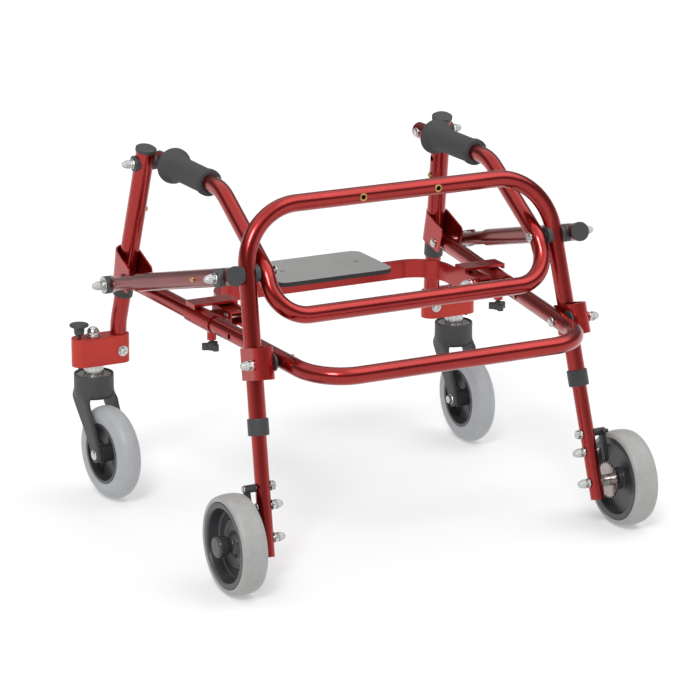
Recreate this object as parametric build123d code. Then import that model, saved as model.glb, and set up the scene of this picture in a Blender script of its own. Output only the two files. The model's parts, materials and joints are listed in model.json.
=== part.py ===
from build123d import *
import os
from math import hypot

os.makedirs("parts", exist_ok=True)

# Posterior walker, millimetres. +Z is up, the walking direction is +Y and +X is the right-hand side.
# Lengths along Y are measured from the rear wheel axle; the finished pieces are moved so that the
# origin lies on the floor under the middle of the bounding box.

# Clearances
SLIDE_GAP = 0.3
FACE_GAP = 0.3
PIN_GAP = 0.08
FIT_GAP = 0.05

# Wheels: the 127 mm size is the scale of the whole walker
WHEEL_R = 63.5
REAR_AXLE_Y = -3.0
CASTER_WIDTH = 32.0
REAR_WIDTH = 34.0
HUB_R = 41.0
REAR_HUB_R = 54.5
REAR_RIM_WALL = 8.0
RIM_WALL = 4.0

# Tube radii
POST_R = 12.7
FRAME_R = 11.1
LEG_R = 9.525
STRUT_R = 11.75
LEG_WALL = 1.5
FRAME_WALL = 1.6

# Pivots in the side view (y, z)
REAR_TOP_PIVOT = (84.5, 379.5)
REAR_LOW_PIVOT = (30.0, 279.5)
GRIP_PIVOT = (388.5, 458.0)
FRONT_LOW_PIVOT = (398.0, 296.0)

# Rear frame: both legs and the top bar lie in one raked plane
REAR_RAKE = 0.2769
REAR_SPLAY = 0.0576
REAR_X = 221.7
REAR_TOP_Z = 457.0
REAR_END_Z = 196.0
REAR_CORNER_R = 78.0
INSERT_X = 54.0

# Handlebar
HANDLE_X = 196.0
HANDLE_FRONT_Y = 401.0
HANDLE_BEND_Y = 211.0
HANDLE_BAR_Y = 52.0
HANDLE_BAR_Z = 327.0
HANDLE_CORNER_R = 45.0
GRIP_R = 16.5
GRIP_REAR_Y = 245.0
GRIP_FRONT_Y = 356.5

# Lower rail
RAIL_X = 199.0
RAIL_FRONT_X = 235.5
RAIL_BACK_Y = -55.0
RAIL_FRONT_PAST = 7.5
RAIL_CORNER_R = 58.0
RAIL_HOLE_Y = 140.0

# Front posts and legs
POST_X = 223.7
POST_RAKE = 0.228
POST_SPLAY = 0.076
POST_TOP_Z = 474.0
POST_END_Z = 292.0
POST_BUTTON_Z = 391.8
HOLE_PITCH = 25.4
BLOCK_Y = 441.0
BLOCK_TOP_Z = 214.6
BLOCK_BOTTOM_Z = 176.0
BLOCK_END_R = 14.5
BLOCK_OUTER_X = 294.0
GUSSET_INSIDE = 15.0
GUSSET_SHEET = 2.0

# Casters
STEM_X = 278.0
CUP_R = 26.8
CUP_TOP_Z = 164.0
CUP_BOTTOM_Z = 131.0
TRAIL = 43.0
ARM_INSIDE = 19.0
ARM_SHEET = 6.0
SWIVEL_REST = {"left": 6.0, "right": -1.0}
PLUNGER_X = 298.0

# Struts
STRUT_REAR_X = 249.0
STRUT_FRONT_X = 266.5
STRUT_BEHIND = 20.0
STRUT_OUTER_END = 246.0
STRUT_INNER_START = 48.0
STRUT_BUTTON_AT = 70.0
STRUT_STUD_AT = 294.0
STRUT_PAST = 11.0

# Rear legs and wheels
LEG_TOP_Z = 305.0
LEG_BOTTOM_Z = 42.0
REAR_BUTTON_Z = 225.0
REAR_WHEEL_X = 282.8
PAWL_BOLT_Z = 125.8
STOP_BOLT_Z = 102.8
RATCHET_X = 259.0
RATCHET_R = 24.0
RATCHET_TEETH = 24
HUB_CAP_PROUD = 9.8

# Seat
SEAT_PIVOT = (205.0, 290.0)
BOARD_HALF_X = 86.0
BOARD_BACK_Y = 266.0
BOARD_FRONT_Y = 374.0
BOARD_TOP_Z = 307.0
BOARD_THICK = 6.5
BOW_HALF_X = 171.0
BOW_Y = 320.0
BOW_HIGH = 25.0
BOW_THICK = 5.0
BOW_CORNER_R = 46.0
SLEEVE_R = 13.0
SLEEVE_START_Y = 190.0
SLEEVE_END_Y = 250.0
BOSS_Y = 208.0
BOSS_INWARD = 4.0
CHANNEL_X = 184.0
CHANNEL_HALF = 9.0

# Fasteners
BOLT_R = 3.0
HEAD_R = 6.5
HEAD_HIGH = 3.2
WASHER_R = 6.6
WASHER_THICK = 1.2
NUT_R = 5.77
NUT_HIGH = 5.0
CAP_R = 4.9
CAP_LONG = 9.0
AXLE_R = 4.0
SPACER_R = 11.5
COLLAR_R = 13.2

# The middle of the finished box along Y
FRONT_MOST_Y = BLOCK_Y + CUP_R
REAR_MOST_Y = REAR_AXLE_Y - WHEEL_R
MIDDLE_Y = (FRONT_MOST_Y + REAR_MOST_Y) / 2

# Slopes that follow from the pivots
RAIL_RUN = FRONT_LOW_PIVOT[0] - REAR_LOW_PIVOT[0]
RAIL_SPLAY = (RAIL_FRONT_X - RAIL_X) / RAIL_RUN
RAIL_RISE = (FRONT_LOW_PIVOT[1] - REAR_LOW_PIVOT[1]) / RAIL_RUN


def rear_axis(z):
    """Centre of the right rear leg at height z."""
    drop = REAR_TOP_PIVOT[1] - z
    return Vector(REAR_X + drop * REAR_SPLAY, REAR_TOP_PIVOT[0] - drop * REAR_RAKE, z)


def post_axis(z):
    """Centre of the right front post at height z."""
    drop = GRIP_PIVOT[1] - z
    return Vector(POST_X + drop * POST_SPLAY, GRIP_PIVOT[0] + drop * POST_RAKE, z)


def rail_axis(y):
    """Centre of the right lower rail at the distance y."""
    run = y - REAR_LOW_PIVOT[0]
    return Vector(RAIL_X + run * RAIL_SPLAY, y, REAR_LOW_PIVOT[1] + run * RAIL_RISE)


STRUT_START = Vector(STRUT_REAR_X, *REAR_TOP_PIVOT)
STRUT_VECTOR = Vector(STRUT_FRONT_X, *FRONT_LOW_PIVOT) - STRUT_START
STRUT_LENGTH = STRUT_VECTOR.length


def strut_axis(distance):
    """Centre of the right strut at a distance ahead of its rear pivot."""
    return STRUT_START + STRUT_VECTOR * (distance / STRUT_LENGTH)


def rod(start, end, radius):
    """Solid cylinder between two points."""
    run = end - start
    return extrude(Plane(origin=start, z_dir=run) * Circle(radius), amount=run.length)


def cone(start, end, radius_start, radius_end):
    """Solid cone frustum between two points."""
    run = end - start
    base = Plane(origin=start, z_dir=run) * Circle(radius_start)
    top = Plane(origin=end, z_dir=run) * Circle(radius_end)
    return loft([base, top])


def pipe(start, end, outer, inner):
    """Straight pipe between two points."""
    run = end - start
    ring = Circle(outer) - Circle(inner)
    return extrude(Plane(origin=start, z_dir=run) * ring, amount=run.length)


def across(x_start, x_end, centre, radius):
    """Solid cylinder parallel to X through the side-view point centre."""
    return rod(Vector(x_start, *centre), Vector(x_end, *centre), radius)


def side_plate(outline, x_start, x_end, rounding=0.0):
    """Plate whose outline is drawn in the side view."""
    face = Polygon(*outline, align=None)
    if rounding > 0:
        face = fillet(face.vertices(), rounding)
    return extrude(Plane.YZ.offset(x_start) * face, amount=x_end - x_start, dir=(1, 0, 0))


def bent_tube(points, bends, outer, wall):
    """Round tube swept along a line with rounded corners."""
    path = FilletPolyline(*points, radius=bends)
    section = Plane(origin=path @ 0, z_dir=path % 0) * (Circle(outer) - Circle(outer - wall))
    return sweep(section, path=path)


def mirrored(shape):
    """The same piece on the other side of the walker."""
    return mirror(shape, about=Plane.YZ)


def group(*shapes):
    """Separate solids kept together under one name."""
    solids = []
    for shape in shapes:
        solids.extend(shape.solids())
    return Compound(solids)


def both_sides(*shapes):
    """A group with every piece and its mirror image."""
    return group(*shapes, *[mirrored(shape) for shape in shapes])


def nut_and_cap(x_face, centre, direction, capped=True):
    """Washer, hexagon nut and clear cap stacked outward from x_face."""
    sense = 1 if direction > 0 else -1
    x_nut = x_face + sense * WASHER_THICK
    x_cap = x_nut + sense * NUT_HIGH
    washer = across(x_face, x_nut, centre, WASHER_R)
    hexagon = Plane.YZ.offset(min(x_nut, x_cap)) * Pos(*centre) * RegularPolygon(NUT_R, 6)
    nut = extrude(hexagon, amount=NUT_HIGH)
    stack = washer + nut
    if capped:
        x_neck = x_cap + sense * CAP_LONG * 0.55
        x_tip = x_cap + sense * CAP_LONG
        stack += cone(Vector(x_cap, *centre), Vector(x_neck, *centre), CAP_R, CAP_R * 0.82)
        stack += cone(Vector(x_neck, *centre), Vector(x_tip, *centre), CAP_R * 0.82, CAP_R * 0.4)
    return stack


def bolt_head(x_face, centre, direction, radius=HEAD_R, high=HEAD_HIGH):
    """Low round head stacked outward from x_face."""
    sense = 1 if direction > 0 else -1
    x_rim = x_face + sense * high * 0.45
    head = across(x_face, x_rim, centre, radius)
    return head + cone(Vector(x_rim, *centre), Vector(x_face + sense * high, *centre), radius, radius * 0.62)


# Solid cores of the tubes, used to shape the pieces that sit on them
rear_core = rod(rear_axis(REAR_END_Z), rear_axis(REAR_TOP_PIVOT[1] + 40), FRAME_R)
post_core = rod(post_axis(POST_END_Z - 10), post_axis(POST_TOP_Z), POST_R)
rail_core = rod(rail_axis(-10), rail_axis(FRONT_LOW_PIVOT[0] + RAIL_FRONT_PAST), FRAME_R)
strut_core = rod(strut_axis(-STRUT_BEHIND), strut_axis(STRUT_OUTER_END), STRUT_R)
strut_front_core = rod(strut_axis(STRUT_OUTER_END), strut_axis(STRUT_LENGTH + STRUT_PAST), LEG_R)

nodes = {}

# Rear frame: one bent tube
rear_wall = FRAME_R - LEG_R - SLIDE_GAP
right_foot = rear_axis(REAR_END_Z)
right_corner = rear_axis(REAR_TOP_Z)
left_corner = Vector(-right_corner.X, right_corner.Y, right_corner.Z)
left_foot = Vector(-right_foot.X, right_foot.Y, right_foot.Z)
rear_tube = bent_tube([right_foot, right_corner, left_corner, left_foot], REAR_CORNER_R, FRAME_R, rear_wall)

# Threaded inserts in the rear face of the top bar
insert_face_y = right_corner.Y - FRAME_R + 0.7
INSERT_FLANGE_R = 5.2
INSERT_BODY_R = 4.3
INSERT_BORE_R = 3.0
INSERT_LONG = 8.0
inserts = []
for side in (-1, 1):
    face_point = Vector(side * INSERT_X, insert_face_y, REAR_TOP_Z)
    back = Vector(0, -1, 0)
    rear_tube -= rod(face_point, face_point + back * 10, INSERT_FLANGE_R + 0.3)
    rear_tube -= rod(face_point - back * 6, face_point + back * 6, INSERT_BODY_R + FIT_GAP)
    insert = rod(face_point, face_point + back * 1.2, INSERT_FLANGE_R)
    insert += rod(face_point - back * INSERT_LONG, face_point, INSERT_BODY_R)
    insert -= rod(face_point - back * (INSERT_LONG + 1), face_point + back * 2, INSERT_BORE_R)
    inserts.append(insert)
nodes["rear_frame_inserts"] = group(*inserts)

# Rear pivot brackets: a channel hugging the leg and reaching back to the rail pivot
BRACKET_HIGH = 40.0
BRACKET_WALL = 2.2
BRACKET_FORWARD = 8.0
bracket_up = (rear_axis(300) - rear_axis(200)).normalized()
# The pivot lies straight behind the middle of the bracket, square to the leg
leg_ahead = rear_axis(REAR_LOW_PIVOT[1]).Y - REAR_LOW_PIVOT[0]
bracket_mid = rear_axis(REAR_LOW_PIVOT[1] - leg_ahead * REAR_RAKE / (1 + REAR_RAKE**2))
bracket_back = Vector(0, -1, 0).cross(bracket_up).cross(bracket_up * -1).normalized()
bracket_plane = Plane(origin=bracket_mid - bracket_up * (BRACKET_HIGH / 2), x_dir=bracket_back, z_dir=bracket_up)
pivot_reach = (Vector(bracket_mid.X, *REAR_LOW_PIVOT) - bracket_mid).dot(bracket_back)
bracket_inner_r = FRAME_R + 0.2
bracket_outer_r = bracket_inner_r + BRACKET_WALL


def channel(radius, overshoot):
    """Round-backed outline from ahead of the leg to the pivot behind it."""
    straight = pivot_reach + BRACKET_FORWARD + overshoot
    middle = (pivot_reach - BRACKET_FORWARD - overshoot) / 2
    return Pos(middle, 0) * Rectangle(straight, 2 * radius) + Pos(pivot_reach, 0) * Circle(radius)


bracket_face = channel(bracket_outer_r, 0) - channel(bracket_inner_r, 5)
bracket = extrude(bracket_plane * bracket_face, amount=BRACKET_HIGH)

# Long bolts through the rear pivots
top_head_x = HANDLE_X - FRAME_R - FACE_GAP
top_strut_x = STRUT_REAR_X + STRUT_R
top_nut_x = top_strut_x + 4.0
low_head_x = RAIL_X - FRAME_R - 1.1
low_nut_x = bracket_mid.X + bracket_outer_r + 1.2
top_bolt = across(top_head_x, top_nut_x + 3, REAR_TOP_PIVOT, BOLT_R)
top_bolt += bolt_head(top_head_x, REAR_TOP_PIVOT, -1)
top_bolt += nut_and_cap(top_nut_x + FACE_GAP, REAR_TOP_PIVOT, 1)
low_bolt = across(low_head_x, low_nut_x + 3, REAR_LOW_PIVOT, BOLT_R)
low_bolt += bolt_head(low_head_x, REAR_LOW_PIVOT, -1)
low_bolt += nut_and_cap(low_nut_x, REAR_LOW_PIVOT, 1)
top_hole = across(0, 400, REAR_TOP_PIVOT, BOLT_R + FIT_GAP)
top_running = across(0, 400, REAR_TOP_PIVOT, BOLT_R + PIN_GAP)
low_hole = across(0, 400, REAR_LOW_PIVOT, BOLT_R + FIT_GAP)
low_running = across(0, 400, REAR_LOW_PIVOT, BOLT_R + PIN_GAP)
bracket -= low_hole
bracket_block = across(bracket_mid.X, low_nut_x, REAR_LOW_PIVOT, HEAD_R)
bracket_filled = extrude(bracket_plane * channel(bracket_outer_r, 0), amount=BRACKET_HIGH)
bracket_bush = bracket_block - bracket_filled
bracket = bracket + (bracket_bush - low_hole)
rear_tube -= top_hole
rear_tube -= mirrored(top_hole)
nodes["rear_pivot_brackets"] = both_sides(bracket)
nodes["rear_pivot_bolts"] = both_sides(top_bolt, low_bolt)

# Plastic collars at the foot of the rear frame and spacers beside the top pivot
COLLAR_TOP_Z = 208.0
COLLAR_END_Z = 187.0
collar = rod(rear_axis(COLLAR_END_Z), rear_axis(COLLAR_TOP_Z), COLLAR_R)
collar -= rod(rear_axis(REAR_END_Z), rear_axis(COLLAR_TOP_Z + 5), FRAME_R)
collar -= rod(rear_axis(COLLAR_END_Z - 5), rear_axis(COLLAR_TOP_Z), LEG_R + SLIDE_GAP)
handle_face_x = HANDLE_X + FRAME_R + FACE_GAP
inner_spacer = across(handle_face_x, REAR_X, REAR_TOP_PIVOT, SPACER_R) - rear_core - rear_tube - top_hole
strut_gap_x = STRUT_REAR_X - STRUT_R - 2.0
outer_spacer = across(REAR_X, strut_gap_x - FACE_GAP, REAR_TOP_PIVOT, SPACER_R) - rear_core - top_hole
rail_face_x = RAIL_X + FRAME_R + SPACER_R * RAIL_SPLAY + FACE_GAP
low_spacer = across(rail_face_x, bracket_mid.X, REAR_LOW_PIVOT, SPACER_R) - bracket_filled - low_hole
nodes["rear_frame_plastics"] = both_sides(collar, inner_spacer, outer_spacer, low_spacer)

# Spring buttons that lock the rear legs, on the front of the rear frame
BUTTON_R = 3.7
BUTTON_OUT = 3.0
BUTTON_DEPTH = 6.0


def spring_button(surface, outward, depth):
    """Round button standing out of a tube and reaching into it."""
    body = rod(surface - outward * depth, surface + outward * (BUTTON_OUT - 1.2), BUTTON_R)
    tip = surface + outward * (BUTTON_OUT - 1.2)
    return body + cone(tip, tip + outward * 1.2, BUTTON_R, BUTTON_R * 0.7)


forward = Vector(0, 1, 0)
rear_button_seat = rear_axis(REAR_BUTTON_Z) + forward * FRAME_R
rear_button = spring_button(rear_button_seat, forward, BUTTON_DEPTH)
rear_button_hole = rod(rear_axis(REAR_BUTTON_Z), rear_button_seat + forward * 10, BUTTON_R + SLIDE_GAP)
rear_tube -= rear_button_hole
rear_tube -= mirrored(rear_button_hole)
nodes["rear_frame_tube"] = rear_tube
nodes["rear_snap_button_right"] = rear_button
nodes["rear_snap_button_left"] = mirrored(rear_button)

# Rear legs: straight tubes sliding in the rear frame, slotted for the buttons
rear_leg = pipe(rear_axis(LEG_BOTTOM_Z), rear_axis(LEG_TOP_Z), LEG_R, LEG_R - LEG_WALL)
slot_half = BUTTON_R + SLIDE_GAP
slot_past = slot_half + (BUTTON_DEPTH + FRAME_R) * REAR_RAKE / 2
slot_low = rear_axis(REAR_BUTTON_Z - HOLE_PITCH - slot_past)
slot_high = rear_axis(REAR_BUTTON_Z + 2 * HOLE_PITCH + slot_past)
slot_plane = Plane(origin=slot_low, x_dir=Vector(1, 0, 0), z_dir=slot_high - slot_low)
rear_slot = extrude(slot_plane * Pos(0, 10) * Rectangle(2 * slot_half, 20), amount=(slot_high - slot_low).length)
rear_leg -= rear_slot
axle_centre = (REAR_AXLE_Y, WHEEL_R)
stop_point = rear_axis(STOP_BOLT_Z)
pawl_point = rear_axis(PAWL_BOLT_Z)
stop_centre = (stop_point.Y, STOP_BOLT_Z)
pawl_centre = (pawl_point.Y, PAWL_BOLT_Z)
axle_point = rear_axis(WHEEL_R)
rear_leg -= across(150, 320, axle_centre, AXLE_R + FIT_GAP)
rear_leg -= across(150, 320, stop_centre, BOLT_R + FIT_GAP)
rear_leg -= across(150, 320, pawl_centre, BOLT_R + FIT_GAP)
nodes["rear_leg_right"] = rear_leg
nodes["rear_leg_left"] = mirrored(rear_leg)

# Axle, pawl bolt and stop bolt with their nuts
hub_inner_x = REAR_WHEEL_X - 17.0
hub_outer_x = REAR_WHEEL_X + 17.0
leg_out_x = axle_point.X + LEG_R
leg_in_x = axle_point.X - LEG_R
axle = across(leg_in_x - 6, hub_outer_x - 5, axle_centre, AXLE_R)
axle += nut_and_cap(leg_in_x - 0.7, axle_centre, -1)
leg_shape = rod(rear_axis(LEG_BOTTOM_Z - 5), rear_axis(LEG_TOP_Z), LEG_R)
axle_spacer = across(leg_out_x - 4, RATCHET_X - FACE_GAP, axle_centre, 8.0) - leg_shape
axle += axle_spacer - across(150, 320, axle_centre, AXLE_R)
stop_bolt = across(stop_point.X - LEG_R - 5, stop_point.X + LEG_R + 3.0, stop_centre, BOLT_R)
stop_bolt += nut_and_cap(stop_point.X - LEG_R - 0.5, stop_centre, -1)
stop_bolt += bolt_head(stop_point.X + LEG_R + 0.4, stop_centre, 1, 5.0, 2.4)
pawl_bolt = across(pawl_point.X - LEG_R - 5, RATCHET_X + 3.0, pawl_centre, BOLT_R)
pawl_bolt += nut_and_cap(pawl_point.X - LEG_R - 0.5, pawl_centre, -1, False)
pawl_bolt += bolt_head(RATCHET_X + 3.0, pawl_centre, 1, 4.6, 2.4)
rear_hardware = group(axle, stop_bolt, pawl_bolt)
nodes["rear_axle_hardware_right"] = rear_hardware
nodes["rear_axle_hardware_left"] = mirrored(rear_hardware)

# Pawls: a lever with a round boss turning on the pawl bolt
pawl_in_x = pawl_point.X + LEG_R + 0.9
pawl_out_x = RATCHET_X + 3.0 - FACE_GAP
PAWL_TIP_R = 2.4
tip_centre = (REAR_AXLE_Y + 5.0, WHEEL_R + RATCHET_R + PAWL_TIP_R + 0.8)
pawl = across(pawl_in_x, pawl_out_x, pawl_centre, 5.0)
pawl_arm = [
    (pawl_centre[0] - 4.0, pawl_centre[1] + 2.0),
    (pawl_centre[0] + 3.5, pawl_centre[1] - 3.0),
    (tip_centre[0] + PAWL_TIP_R, tip_centre[1]),
    (tip_centre[0], tip_centre[1] - PAWL_TIP_R),
    (tip_centre[0] - PAWL_TIP_R, tip_centre[1] + 2.0),
]
pawl += side_plate(pawl_arm, RATCHET_X - 3.5, pawl_out_x)
pawl += across(pawl_out_x - 8, pawl_out_x, (pawl_centre[0] - 9.0, pawl_centre[1] + 3.0), 2.6)
pawl += side_plate(
    [
        (pawl_centre[0] - 10.0, pawl_centre[1] + 1.0),
        (pawl_centre[0] - 10.0, pawl_centre[1] + 5.0),
        (pawl_centre[0], pawl_centre[1] + 4.0),
        (pawl_centre[0], pawl_centre[1]),
    ],
    RATCHET_X - 3.5,
    pawl_out_x,
)
pawl -= across(150, 320, pawl_centre, BOLT_R + PIN_GAP)
nodes["pawl_right"] = pawl
nodes["pawl_left"] = mirrored(pawl)


# Wheels are turned about an axis along X through (0, 0) and then moved into place
def turned(profile):
    """Solid of revolution about the X axis from (x, radius) points."""
    return revolve(Plane.XY * Polygon(*profile, align=None), axis=Axis.X)


def tyre_ring(width, rim_r, shoulder):
    """Solid tyre with a rounded tread."""
    half = width / 2
    lip = (WHEEL_R - shoulder - rim_r) / 2
    with BuildSketch() as sketch:
        with BuildLine():
            Polyline((-half + 1.5, rim_r), (-half, rim_r + lip), (-half, WHEEL_R - shoulder))
            ThreePointArc((-half, WHEEL_R - shoulder), (0, WHEEL_R), (half, WHEEL_R - shoulder))
            Polyline((half, WHEEL_R - shoulder), (half, rim_r + lip), (half - 1.5, rim_r), (-half + 1.5, rim_r))
        make_face()
    return revolve(sketch.sketch, axis=Axis.X)


def wheel_hub(width, rim_r, rim_wall, boss_r, boss_half, web_x, bore):
    """Hub with a rim ring, a web across the middle, a boss and stiffening ribs."""
    half = width / 2 - 1.0
    inside = rim_r - rim_wall
    hub = turned([(-half, inside), (-half, rim_r), (half, rim_r), (half, inside)])
    hub += turned([(web_x - 2, 0), (web_x - 2, inside + 1), (web_x + 2, inside + 1), (web_x + 2, 0)])
    hub += turned([(-boss_half, 0), (-boss_half, boss_r), (boss_half, boss_r), (boss_half, 0)])
    rib = Pos(web_x, 0, (inside + boss_r) / 2) * Box(8, 2.5, inside - boss_r + 2)
    for turn in range(5):
        hub += Rot(72 * turn, 0, 0) * rib
    return hub - turned([(-50, 0), (-50, bore), (50, bore), (50, 0)])


rear_tyre = Pos(REAR_WHEEL_X, *axle_centre) * tyre_ring(REAR_WIDTH, REAR_HUB_R + FIT_GAP, 5.0)
rear_hub = wheel_hub(REAR_WIDTH, REAR_HUB_R, REAR_RIM_WALL, 13.0, 12.0, -3.0, AXLE_R + PIN_GAP)
cap_x = hub_outer_x - REAR_WHEEL_X + HUB_CAP_PROUD
cap_root = cap_x - 15.0
hub_cap = turned([(10.0, 0), (10.0, 9.5), (cap_root, 9.5), (cap_root, 13.5), (cap_x, 13.5), (cap_x, 0)])
hub_cap -= turned([(0, 0), (0, 6.5), (cap_x - 9, 6.5), (cap_x - 9, 0)])
rear_hub = Pos(REAR_WHEEL_X, *axle_centre) * (rear_hub + hub_cap)
nodes["rear_tyre_right"] = rear_tyre
nodes["rear_tyre_left"] = mirrored(rear_tyre)

# Ratchet ring on the inner face of each rear hub
gear = Circle(RATCHET_R - 2.0)
for turn in range(RATCHET_TEETH):
    gear += Rot(0, 0, turn * 360 / RATCHET_TEETH) * Pos(0, RATCHET_R - 2.6) * Polygon(
        (1.9, 0), (0.6, 2.6), (-0.4, 2.6), (-1.9, 0), align=None
    )
gear -= Circle(AXLE_R + PIN_GAP)
ratchet = extrude(Plane.YZ * gear, amount=2.5)
ratchet_back = pipe(Vector(2.5, 0, 0), Vector(REAR_WHEEL_X - 14.0 - RATCHET_X, 0, 0), 12.0, AXLE_R + PIN_GAP)
ratchet = Pos(RATCHET_X, *axle_centre) * (ratchet + ratchet_back)
nodes["rear_hub_right"] = rear_hub
nodes["rear_hub_left"] = mirrored(rear_hub)
nodes["ratchet_ring_right"] = ratchet
nodes["ratchet_ring_left"] = mirrored(ratchet)

# Handlebar: one bent tube from grip to grip
handle_points = [
    Vector(HANDLE_X, HANDLE_FRONT_Y, GRIP_PIVOT[1]),
    Vector(HANDLE_X, HANDLE_BEND_Y, GRIP_PIVOT[1]),
    Vector(HANDLE_X, *REAR_TOP_PIVOT),
    Vector(HANDLE_X, HANDLE_BAR_Y, HANDLE_BAR_Z),
]
handle_points += [Vector(-point.X, point.Y, point.Z) for point in reversed(handle_points)]
handle_bends = [60.0, 40.0, HANDLE_CORNER_R, HANDLE_CORNER_R, 40.0, 60.0]
handle_tube = bent_tube(handle_points, handle_bends, FRAME_R, FRAME_WALL)
grip_bolt_hole = across(0, 400, GRIP_PIVOT, BOLT_R + FIT_GAP)
for hole in (top_running, grip_bolt_hole):
    handle_tube -= hole
    handle_tube -= mirrored(hole)
nodes["handlebar_tube"] = handle_tube

# Hand grips with a flange at the front
grip_start = Vector(HANDLE_X, GRIP_REAR_Y, GRIP_PIVOT[1])
grip_end = Vector(HANDLE_X, GRIP_FRONT_Y, GRIP_PIVOT[1])
FLANGE_R = 24.0
FLANGE_THICK = 5.0
END_RING = 8.0
grip = rod(grip_start, grip_end, GRIP_R)
grip += rod(grip_start, grip_start + forward * END_RING, GRIP_R + 1.6)
grip += rod(grip_end - forward * FLANGE_THICK, grip_end, FLANGE_R)
grip += cone(grip_end - forward * (FLANGE_THICK + 9), grip_end - forward * FLANGE_THICK, GRIP_R, FLANGE_R - 3)
grip -= rod(grip_start - forward, grip_end + forward, FRAME_R + FIT_GAP)
nodes["hand_grips"] = both_sides(grip)

# Grip pivot: the head side stays with the handlebar, the spacer side stays with the post
grip_head_x = HANDLE_X - FRAME_R
handle_stub = across(grip_head_x, HANDLE_X + FRAME_R - 0.5, GRIP_PIVOT, BOLT_R)
handle_stub += bolt_head(grip_head_x, GRIP_PIVOT, -1)
nodes["handlebar_bolts"] = both_sides(handle_stub)

# Lower rail: one bent tube around the back of the walker
rail_front = rail_axis(FRONT_LOW_PIVOT[0] + RAIL_FRONT_PAST)
rail_corner = rail_axis(RAIL_BACK_Y)
rail_points = [
    rail_front,
    rail_corner,
    Vector(-rail_corner.X, rail_corner.Y, rail_corner.Z),
    Vector(-rail_front.X, rail_front.Y, rail_front.Z),
]
rail_tube = bent_tube(rail_points, RAIL_CORNER_R, FRAME_R, FRAME_WALL)
front_hole = across(0, 400, FRONT_LOW_PIVOT, BOLT_R + FIT_GAP)
front_running = across(0, 400, FRONT_LOW_PIVOT, BOLT_R + PIN_GAP)
rail_hole_point = rail_axis(RAIL_HOLE_Y)
side_hole = across(150, 260, (RAIL_HOLE_Y, rail_hole_point.Z), 3.3)
for hole in (low_running, front_running, side_hole):
    rail_tube -= hole
    rail_tube -= mirrored(hole)
nodes["lower_rail_tube"] = rail_tube

# Seat sleeves on the rail with the channel that carries the seat pivot
sleeve_start = rail_axis(SLEEVE_START_Y)
sleeve_end = rail_axis(SLEEVE_END_Y)
sleeve_solid = rod(sleeve_start, sleeve_end, SLEEVE_R)
CHANNEL_START_Y = 193.0
CHANNEL_END_Y = 248.0
channel_mid = Vector(CHANNEL_X, (CHANNEL_START_Y + CHANNEL_END_Y) / 2, SEAT_PIVOT[1])
channel_long = CHANNEL_END_Y - CHANNEL_START_Y
channel_box = Pos(channel_mid) * Box(2 * CHANNEL_HALF, channel_long, 2 * CHANNEL_HALF)
channel_hollow = Pos(channel_mid) * Box(2 * CHANNEL_HALF - 4, channel_long + 2, 2 * CHANNEL_HALF - 4)
tab_x = CHANNEL_X + CHANNEL_HALF
tab_long = sleeve_end.X - tab_x
TAB_START_Y = 214.0
tab_run = CHANNEL_END_Y - 3.0 - TAB_START_Y
tab = Pos(tab_x + tab_long / 2, TAB_START_Y + tab_run / 2, SEAT_PIVOT[1] - 3.0) * Box(tab_long, tab_run, 6.0)
boss_point = rail_axis(BOSS_Y) - Vector(BOSS_INWARD, 0, 0)
boss_low = boss_point - Vector(0, 0, SLEEVE_R + 12.0)
boss = rod(boss_low, boss_point, 6.0)
sleeve = sleeve_solid + channel_box - channel_hollow + tab + boss
sleeve -= rod(rail_axis(SLEEVE_START_Y - 10), rail_axis(SLEEVE_END_Y + 10), FRAME_R + FIT_GAP)
STUD_R = 3.0
sleeve -= rod(boss_low - Vector(0, 0, 1), boss_point - Vector(0, 0, FRAME_R + 1.0), STUD_R + PIN_GAP)
seat_pivot_hole = across(150, 195, SEAT_PIVOT, BOLT_R + FIT_GAP)
sleeve -= seat_pivot_hole
nodes["seat_sleeves"] = both_sides(sleeve)

# Wing knobs under the sleeves
KNOB_DROP = 3.5
KNOB_HIGH = 10.0
knob_top = boss_low - Vector(0, 0, KNOB_DROP)
knob_face = Circle(6.5)
for turn in range(3):
    lobe = Pos(8.6, 0) * Circle(4.2) + Pos(4.3, 0) * Rectangle(8.6, 7.6)
    knob_face += Rot(0, 0, 120 * turn + 20) * lobe
knob = extrude(Plane(origin=knob_top - Vector(0, 0, KNOB_HIGH), z_dir=Vector(0, 0, 1)) * knob_face, amount=KNOB_HIGH - 2)
knob += cone(knob_top - Vector(0, 0, 2), knob_top, 6.5, 4.5)
knob += rod(knob_top - Vector(0, 0, 1), boss_low + Vector(0, 0, 9.0), STUD_R)
nodes["wing_knob_right"] = knob
nodes["wing_knob_left"] = mirrored(knob)

# Seat bow: flat bar on edge with stop plates reaching over the rails
bow_top_z = BOARD_TOP_Z - BOARD_THICK
bow_tail_y = SEAT_PIVOT[0] - 11.0
bow_path = FilletPolyline(
    (BOW_HALF_X, bow_tail_y),
    (BOW_HALF_X, BOW_Y),
    (-BOW_HALF_X, BOW_Y),
    (-BOW_HALF_X, bow_tail_y),
    radius=BOW_CORNER_R,
)
bow_start = Vector(BOW_HALF_X, bow_tail_y, bow_top_z - BOW_HIGH / 2)
bow_section = Plane(origin=bow_start, x_dir=Vector(1, 0, 0), z_dir=Vector(0, 1, 0))
bow_line = Pos(0, 0, bow_top_z - BOW_HIGH / 2) * bow_path
bow = sweep(bow_section * Rectangle(BOW_THICK, BOW_HIGH), path=bow_line)
PLATE_THICK = 4.0
PLATE_BACK_Y = 222.0
PLATE_FRONT_Y = 249.0
PLATE_OUT_X = 230.0
plate_low_z = sleeve_end.Z + SLEEVE_R * 1.01 + FACE_GAP
plate_in_x = BOW_HALF_X - BOW_THICK / 2
plate_mid_y = (PLATE_BACK_Y + PLATE_FRONT_Y) / 2
plate_wide = PLATE_OUT_X - plate_in_x
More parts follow.
